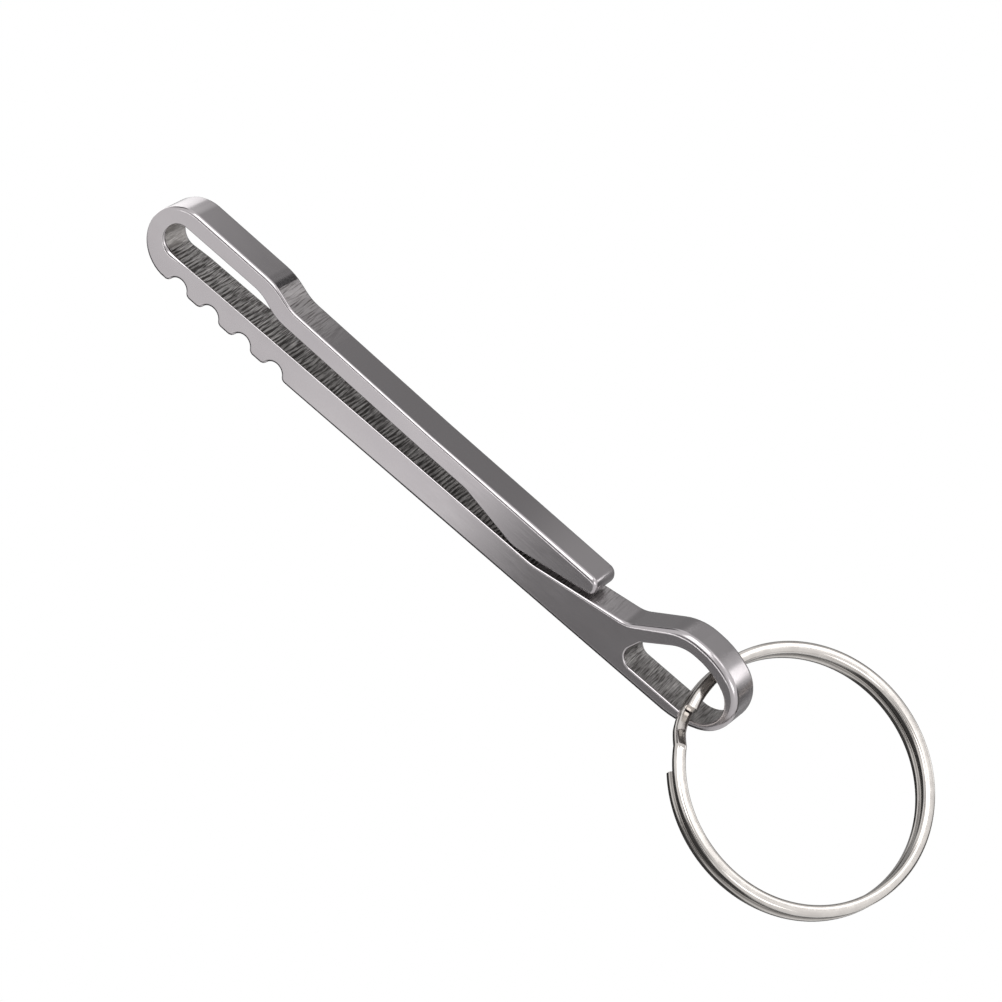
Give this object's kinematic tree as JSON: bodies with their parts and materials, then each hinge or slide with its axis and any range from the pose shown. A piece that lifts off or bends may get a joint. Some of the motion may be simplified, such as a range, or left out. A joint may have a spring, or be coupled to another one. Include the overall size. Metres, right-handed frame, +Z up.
{
  "type": "belt key clip",
  "caption": "Flat one-piece metal hook clip that slides over a belt or pocket edge and carries keys on a split ring through its eye.",
  "frame": {"origin": "crown of the belt slot at the middle of the plate's thickness, where the edge of a belt or pocket bears", "axes": "+Z up along the clip, from the ring toward the bend; +X from the spine's back toward the arm; +Y from the plate's front face toward its rear face"},
  "size_m": [0.0172, 0.0279, 0.1075],
  "materials": {
    "clip_metal": "polished grey metal on the faces and outer sides, fine cut lines across the slot, the ramp and the eye's wall",
    "ring_metal": "bright smooth wire"
  },
  "bodies": {
    "body": {"clip_body": "clip_metal"},
    "arm": {"spring_arm": "clip_metal"},
    "ring": {"split_ring": "ring_metal"}
  },
  "joints": [
    {"name": "arm_flex", "type": "hinge", "parent": "body", "child": "arm", "pos_m": [0.00409, 0, -0.00246], "axis": [0, -1, 0], "range_deg": [0, 4], "stiffness_Nm_per_rad": 21},
    {"name": "ring_swing", "type": "hinge", "parent": "body", "child": "ring", "pos_m": [-0.0003, 0.00068, -0.07673], "axis": [0.4544, 0.8908, 0], "range_deg": [-89, 61]}
  ]
}
